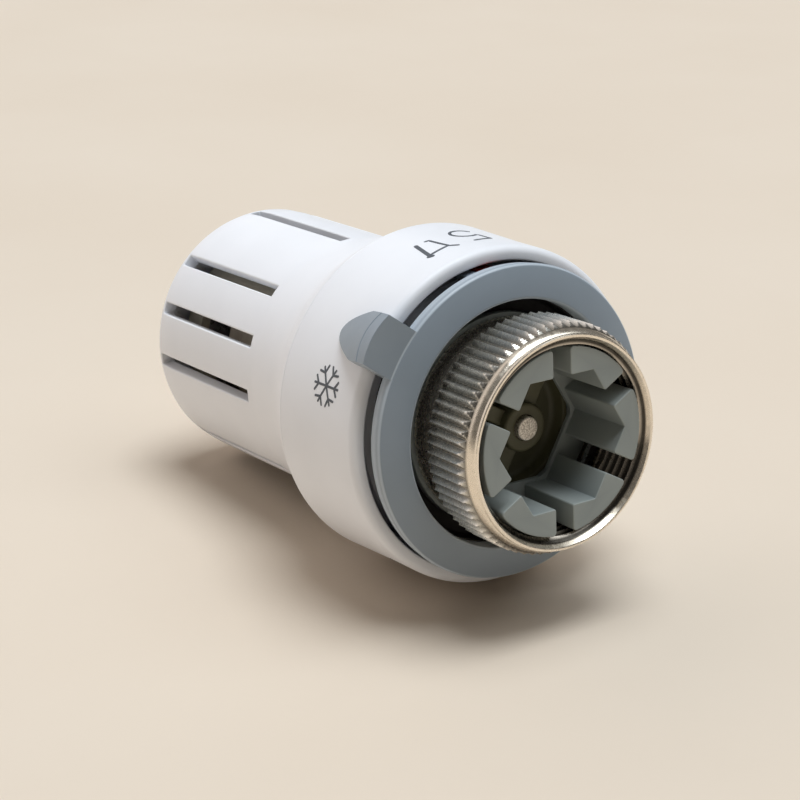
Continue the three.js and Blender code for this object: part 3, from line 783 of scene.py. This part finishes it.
def pointer():
    """L-shaped pointer: a plate that stands on the collar, and a nose that lies over the drum.

    It is a grid of columns across its width and stations along its depth. The columns end on
    the nose's pointed outline, and a fine groove parts the plate's top from the nose.
    """
    half, front, plate_back, tip = 3.89, 11.3, 14.3, 23.8
    shoulder, foot = 16.7, 22.6
    front_height, nose_height, tip_height = 29.5, 28.93, 26.2
    groove_width, groove_depth = 0.16, 0.16
    across, nose_steps = 24, 30
    clearance = DRUM_R + 0.2

    def point(depth, offset, up):
        turn = math.degrees(math.atan2(offset, up))
        return polar(depth, math.hypot(offset, up), POINTER_ANGLE + turn)

    def under(offset):
        return math.sqrt(clearance ** 2 - offset ** 2)

    verts, rows = [], []
    for column in range(across + 1):
        lean = math.pi * (column / across - 0.5)
        side = math.sin(lean)
        offset = half * side
        end = shoulder + (tip - shoulder) * max(0, math.cos(lean)) ** 2.1
        line = plate_back - 0.1 - 0.75 * side ** 2
        upper = []
        for depth in spread(front, line - groove_width, 5):
            along = (depth - front) / (line - front)
            height = front_height + (nose_height - front_height) * along
            upper.append(point(depth, offset, height - (0.75 - 0.3 * along) * side ** 2))
        upper.append(point(line, offset, nose_height - groove_depth - 0.45 * side ** 2))
        for depth in spread(line + groove_width, end, nose_steps):
            along = (depth - line) / (tip - line)
            height = nose_height + (tip_height - nose_height) * along
            upper.append(point(depth, offset, height - 0.43 * side ** 2))
        lower = [
            point(front, offset, foot),
            point(plate_back, offset, foot),
            point(plate_back + 0.01, offset, under(offset)),
            point(end, offset, under(offset)),
        ]
        first = len(verts)
        rows.append((range(first, first + len(upper)), range(first + len(upper), first + len(upper) + 4)))
        verts += upper + lower
    faces = []
    for (upper, lower), (next_upper, next_lower) in zip(rows, rows[1:]):
        for i in range(len(upper) - 1):
            faces.append((upper[i], upper[i + 1], next_upper[i + 1], next_upper[i]))
        for i in range(len(lower) - 1):
            faces.append((lower[i], next_lower[i], next_lower[i + 1], lower[i + 1]))
        faces.append((upper[0], next_upper[0], next_lower[0], lower[0]))
        faces.append((upper[-1], lower[-1], next_lower[-1], next_upper[-1]))
    for upper, lower in (rows[0], rows[-1]):
        faces.append(tuple(upper) + tuple(reversed(lower)))
    piece = make_piece("pointer", verts, faces, COLLAR_GREY, "base")
    return soften(piece, 0.2, 3, 50)


collar()
pointer()
soften(make_piece("stop_rib", *arc_block(COLLAR_BACK - 0.6, STOP_REAR, *STOP_RADII, STOP_ANGLE - 2.5,
                                         STOP_ANGLE + 2.5), COLLAR_GREY, "base"), 0.2)
soften(make_piece("clip_leaf", *merge(
    arc_block(CLIP_FRONT, CLIP_REAR, *STOP_RADII, 89.2, 92.0),
    arc_block(CLIP_FRONT, CLIP_REAR, *STOP_RADII, 94.2, 97.0),
    arc_block(CLIP_FRONT, CLIP_FRONT + 3.6, *STOP_RADII, 91.7, 94.5),
), RED, "base", ["limit_clip"]), 0.15)


# ---- Barrel ---------------------------------------------------------------------------
def keyway_relief(depth, radius, angle):
    """Widens the barrel's bore at the three keyways for the sensor carrier."""
    off = abs((angle - KEY_ANGLES[0] + 60) % 120 - 60)
    in_bore = abs(radius - BARREL_BORE) < 0.01 and depth > COLLET_REAR + 2.7
    return KEYWAY_R if in_bore and off < KEY_HALF_ANGLE else radius


def barrel():
    web_front = COLLET_REAR + 0.3
    outline = rounded([
        (BARREL_FRONT, COLLAR_BORE - 0.35, 0.2),
        (BARREL_FRONT, STOP_RADII[0] - 0.4, 0.2),
        (BARREL_FRONT + 1.8, STOP_RADII[0] - 0.4, 0.2),
        (BARREL_FRONT + 1.8, THREAD_R - 0.3),
        (18, THREAD_R - 0.3, 0.2),
        (18, BARREL_R),
        (BARREL_REAR, BARREL_R, 0.3),
        (BARREL_REAR, BARREL_BORE, 0.3),
        (web_front + 2.5, BARREL_BORE),
        (web_front + 2.3, BARREL_BORE - 0.01),
        (web_front + 2.3, 4.4),
        (web_front, 4.4, 0.2),
        (web_front, COLLAR_BORE - 0.35, 0.5),
    ])
    shell = lathe(outline, full_turn(288), relief=keyway_relief)[:2]
    thread = coil(BARREL_R - 0.1, 24.8, 5.6, 1.5, 1.0, 60)
    return make_piece("barrel", *merge(shell, thread), BARREL_BLACK, "base", ["base_barrel"])


barrel()


# ---- Collet -----------------------------------------------------------------------------
def finger_outline():
    """A finger seen along the axis, with the corner of the hexagonal socket in its middle."""
    half_step = 180 / FINGERS
    outer_half = half_step - math.degrees(math.asin(SLOT_WIDTH / 2 / COLLET_R))
    inner_half = math.radians(half_step - math.degrees(math.atan(SLOT_WIDTH / 2 / HEX_FLAT)))
    inner_r = math.hypot(HEX_FLAT, SLOT_WIDTH / 2)
    arc = [(COLLET_R * math.cos(math.radians(a)), COLLET_R * math.sin(math.radians(a)))
           for a in spread(-outer_half, outer_half, 16)]
    corners = [(*arc[0], 0.55)] + arc[2:-2] + [(*arc[-1], 0.55)]
    corners += [
        (inner_r * math.cos(inner_half), inner_r * math.sin(inner_half), 0.3),
        (HEX_FLAT / math.cos(math.radians(half_step)), 0, 0.15),
        (inner_r * math.cos(inner_half), -inner_r * math.sin(inner_half), 0.3),
    ]
    return rounded(corners, steps=4)


def hexagonal_opening(depth, radius, angle):
    """Turns the narrowest part of the collet's floor into a hexagon with soft corners."""
    if radius > FLOOR_FLAT + 0.3:
        return radius
    flat = radius / math.cos(math.radians(angle % 60 - 30))
    return min(flat, FLOOR_FLAT + 1.1)


def collet():
    finger = finger_outline()
    for i in range(FINGERS):
        verts, faces = prism(turned(finger, 360 * i / FINGERS), COLLET_FRONT, SOCKET_DEPTH + 0.6)
        soften(make_piece(f"collet_finger_{i + 1}", verts, faces, FINGER_GREY, "base"), 0.16, 3, 50)
    outline = rounded([
        (SOCKET_DEPTH - 0.1, FLOOR_FLAT, 0.15),
        (SOCKET_DEPTH - 0.1, COLLET_R),
        (NUT_REAR + 0.3, COLLET_R),
        (NUT_REAR + 0.3, COLLET_R + 2, 0.2),
        (COLLET_REAR, COLLET_R + 2, 0.2),
        (COLLET_REAR, 10.4),
        (SOCKET_DEPTH + 0.5, 10.4),
        (SOCKET_DEPTH + 0.5, FLOOR_FLAT),
    ])
    verts, faces, _ = lathe(outline, full_turn(144), relief=hexagonal_opening)
    make_piece("collet_base", verts, faces, FINGER_GREY, "base", ["collet_insert"])


collet()


# ---- Union nut --------------------------------------------------------------------------
SAMPLES_PER_TOOTH = 8
KNURL_FRONT = MOUTH + 1.65
KNURL_REAR = 8.7
THREAD_FRONT = MOUTH + 0.95
THREAD_REAR = 7.25


def knurl_relief(depth, radius, angle):
    """Ridges and hollows of the knurl, cut off by the cones at its ends, and the inner thread."""
    if depth < KNURL_REAR + 0.45 and radius > NUT_ROOT_R - 0.6:
        phase = (angle * NUT_TEETH / 360) % 1
        ridge = abs(2 * phase - 1) ** 1.5
        knurl = NUT_ROOT_R + (NUT_R - NUT_ROOT_R) * ridge
        return min(radius, knurl)
    if THREAD_FRONT - 0.05 < depth < THREAD_REAR + 0.05 and radius < NUT_MAJOR_R:
        phase = (depth / PITCH + angle / 360) % 1
        return NUT_BORE + (NUT_MAJOR_R - NUT_BORE) * min(1, 1.15 * (1 - abs(2 * phase - 1)))
    return radius


def union_nut():
    outside = [
        (0.05, NUT_MAJOR_R + 0.4),
        (0, NUT_MAJOR_R + 0.5),
        (0, NUT_MAJOR_R + 0.75),
        (0.08, NUT_MAJOR_R + 0.88),
        (0.3, NUT_MAJOR_R + 0.94),
        (0.36, NUT_MAJOR_R + 0.86),
        (0.46, NUT_MAJOR_R + 0.88),
        (0.56, NUT_MAJOR_R + 1.02),
        (1.0, NUT_MAJOR_R + 1.24),
        (1.5, NUT_MAJOR_R + 1.43),
    ]
    outside = [(MOUTH + step, min(radius, NUT_ROOT_R - 0.02)) for step, radius in outside]
    cone = [(depth, NUT_ROOT_R + (NUT_R - NUT_ROOT_R + 0.02) * (depth - KNURL_FRONT) / 1.35)
            for depth in spread(KNURL_FRONT, KNURL_FRONT + 1.35, 14)]
    straight = [(depth, NUT_R + 0.02) for depth in spread(KNURL_FRONT + 2, KNURL_REAR, 5)]
    rear_cone = [(depth, NUT_R - 2 * (depth - KNURL_REAR))
                 for depth in spread(KNURL_REAR + 0.05, KNURL_REAR + 0.4, 5)]
    shank = [
        (KNURL_REAR + 0.5, NUT_ROOT_R - 0.3),
        (KNURL_REAR + 1.2, NUT_MAJOR_R + 0.4),
        (NUT_REAR, NUT_MAJOR_R + 0.4),
    ]
    inside = [
        (NUT_REAR, COLLET_R + 0.3),
        (9.4, COLLET_R + 0.3),
        (9.3, NUT_MAJOR_R + 0.1),
        (THREAD_REAR + 0.35, NUT_MAJOR_R + 0.1),
        (THREAD_REAR + 0.15, NUT_BORE),
    ]
    thread = [(depth, NUT_BORE) for depth in spread(THREAD_REAR, THREAD_FRONT, 50)]
    outline = outside + cone + straight + rear_cone + shank + inside + thread
    outline.append((MOUTH + 0.85, NUT_MAJOR_R - 0.1))
    turns = full_turn(NUT_TEETH * SAMPLES_PER_TOOTH)
    verts, faces, _ = lathe(outline, turns, relief=knurl_relief)
    return make_piece("nut_shell", verts, faces, NICKEL, "nut", ["union_nut"], smooth=28)


union_nut()


# ---- Pin and its guide ------------------------------------------------------------------
RIB_WIDTH = 2.3
RIB_ANGLES = (60, 150, 240)
SLOT_RIB_ANGLE = 150  # the rib that reaches out through one of the collet's slots
RIB_FRONT = 9.8


def pin_guide():
    """Boss for the pin in a shallow cup, with ribs between them."""
    boss = lathe(rounded([
        (GUIDE_FRONT, PIN_R + 0.12, 0.1),
        (GUIDE_FRONT, BOSS_R - 0.1, 0.5),
        (RIB_FRONT + 1, BOSS_R + 0.1, 1),
        (GUIDE_REAR, BOSS_R, 0.2),
        (GUIDE_REAR, PIN_R + 0.12),
    ]), full_turn(72))[:2]
    floor_depth = SOCKET_DEPTH + 2.6
    cup = lathe(rounded([
        (SOCKET_DEPTH + 0.7, 9.6, 0.2),
        (SOCKET_DEPTH + 0.7, 10.25, 0.1),
        (COLLET_REAR, 10.1),
        (COLLET_REAR, BOSS_R - 0.4),
        (floor_depth, BOSS_R - 0.4),
        (floor_depth, 8.9, 1.2),
    ]), full_turn(96))[:2]
    ribs = []
    for angle in RIB_ANGLES:
        half = RIB_WIDTH / 2
        reach = COLLET_R - 0.8 if angle == SLOT_RIB_ANGLE else 9.2
        outline = [(BOSS_R - 0.8, -half), (reach, -half), (reach, half), (BOSS_R - 0.8, half)]
        back = SOCKET_DEPTH - 0.3 if angle == SLOT_RIB_ANGLE else floor_depth + 0.4
        ribs.append(prism(turned(outline, angle), RIB_FRONT, back))
    piece = make_piece("spider", *merge(boss, cup, *ribs), OLIVE, "base", ["pin_guide"])
    return soften(piece, 0.15, 2, 50)


def pin_tip():
    outline = rounded([
        (PIN_FRONT, 0),
        (PIN_FRONT + 0.02, PIN_R, 0.25),
        (PIN_REAR, PIN_R, 0.2),
        (PIN_REAR, 0),
    ], closed=False)
    verts, faces, _ = lathe(outline, full_turn(64))
    return make_piece("pin_end", verts, faces, PIN_METAL, "pin", ["pin_tip"])


pin_guide()
pin_tip()


# ---- Solids that keep their CAD shape -----------------------------------------------------
NODE_FINISH = {
    "nut_snap_ring": STEEL,
    "pin_stem": OLIVE,
    "pin_return_spring": STEEL,
    "piston_pad": NATURAL,
    "sensor_piston": STEEL,
    "sensor_end_plate": BRASS,
    "sensor_can": ALUMINIUM,
    "fill_plug": BRASS,
    "sensor_bellows": BRASS,
    "sensor_carrier": NATURAL,
    "thrust_washer": BLACK,
    "spring_retainer": STEEL,
    "overtravel_spring": STEEL,
}
for node, finish in NODE_FINISH.items():
    slots = frame["nodes"][node].data.materials
    for i in range(len(slots)):
        slots[i] = finish


# ---- Floor, light and camera --------------------------------------------------------------
# The head lies on the drum's shoulder and on the sleeve's rear edge, so the floor slopes.
FLOOR_UP = Vector((0.0958, -0.0145, 0.9953)).normalized()


def floor():
    lowest = min(FLOOR_UP.dot(v.co) for piece in (drum, sleeve) for v in piece.data.vertices)
    surface = Surface("floor_paper", "white_abs", Specular_IOR_Level=0.15)
    drift = surface.ramp(surface.noise(0.01, 4), 0, 1)
    surface.colour(surface.mix(drift, srgb(222, 209, 193), srgb(219, 205, 188)))
    surface.roughness(surface.ramp(surface.noise(0.5, 4), 0.82, 0.9))
    surface.normal(surface.relief(surface.noise(1.4, 5), 0.02))
    mesh = bpy.data.meshes.new("floor")
    work = bmesh.new()
    bmesh.ops.create_grid(work, x_segments=8, y_segments=8, size=4)
    work.to_mesh(mesh)
    work.free()
    mesh.materials.append(surface.material)
    plane = bpy.data.objects.new("floor", mesh)
    plane.rotation_mode = "QUATERNION"
    plane.rotation_quaternion = Vector((0, 0, 1)).rotation_difference(FLOOR_UP)
    plane.location = FLOOR_UP * (lowest - 0.02 * MM)
    bpy.context.scene.collection.objects.link(plane)


def sun(name, toward, strength, spread_angle, colour):
    """Soft light from far away. toward points from the object to the light."""
    lamp = bpy.data.lights.new(name, "SUN")
    lamp.energy = strength
    lamp.angle = math.radians(spread_angle)
    lamp.color = colour
    lamp_object = bpy.data.objects.new(name, lamp)
    lamp_object.rotation_mode = "QUATERNION"
    lamp_object.rotation_quaternion = Vector(toward).to_track_quat("Z", "Y")
    bpy.context.scene.collection.objects.link(lamp_object)


def studio_direction(tilt, around):
    """Direction of a light: tilt from overhead, and angle round the object.

    An angle of 0 is to the right of the camera's view, 90 is behind the object.
    """
    right = Vector((0.553, 0.832, 0)).normalized()
    behind = Vector((-0.84, 0.54, 0)).normalized()
    turn, lean = math.radians(around), math.radians(tilt)
    sideways = right * math.cos(turn) + behind * math.sin(turn)
    return Vector((0, 0, 1)) * math.cos(lean) + sideways * math.sin(lean)


def world():
    backdrop = bpy.data.worlds.new("studio")
    backdrop.use_nodes = True
    shader = backdrop.node_tree.nodes["Background"]
    shader.inputs["Color"].default_value = (1.0, 0.9, 0.8, 1)
    shader.inputs["Strength"].default_value = 0.09
    bpy.context.scene.world = backdrop


def camera():
    lens = bpy.data.cameras.new("camera")
    lens.sensor_width = 36
    lens.lens = 89.58
    lens.clip_start = 0.005
    lens.clip_end = 50
    view = bpy.data.objects.new("camera", lens)
    forward = Vector((-0.8034, 0.5195, -0.2911)).normalized()
    right = forward.cross(Vector((-0.221, 0.194, 0.9558))).normalized()
    up = right.cross(forward)
    turn = Matrix((right, up, -forward)).transposed()
    place = Vector((212.91 - DATUM, -164.65, 88.81)) * MM
    view.matrix_world = Matrix.Translation(place) @ turn.to_4x4()
    bpy.context.scene.collection.objects.link(view)
    bpy.context.scene.camera = view


floor()
sun("key_light", studio_direction(8, -30), 2.2, 34, (0.9, 0.955, 1.0))
sun("side_light", studio_direction(32, -10), 0.9, 44, (0.9, 0.955, 1.0))
sun("fill_light", studio_direction(70, 148), 1.3, 100, (1.0, 0.93, 0.9))
world()
camera()
bpy.context.scene.view_settings.view_transform = "Standard"
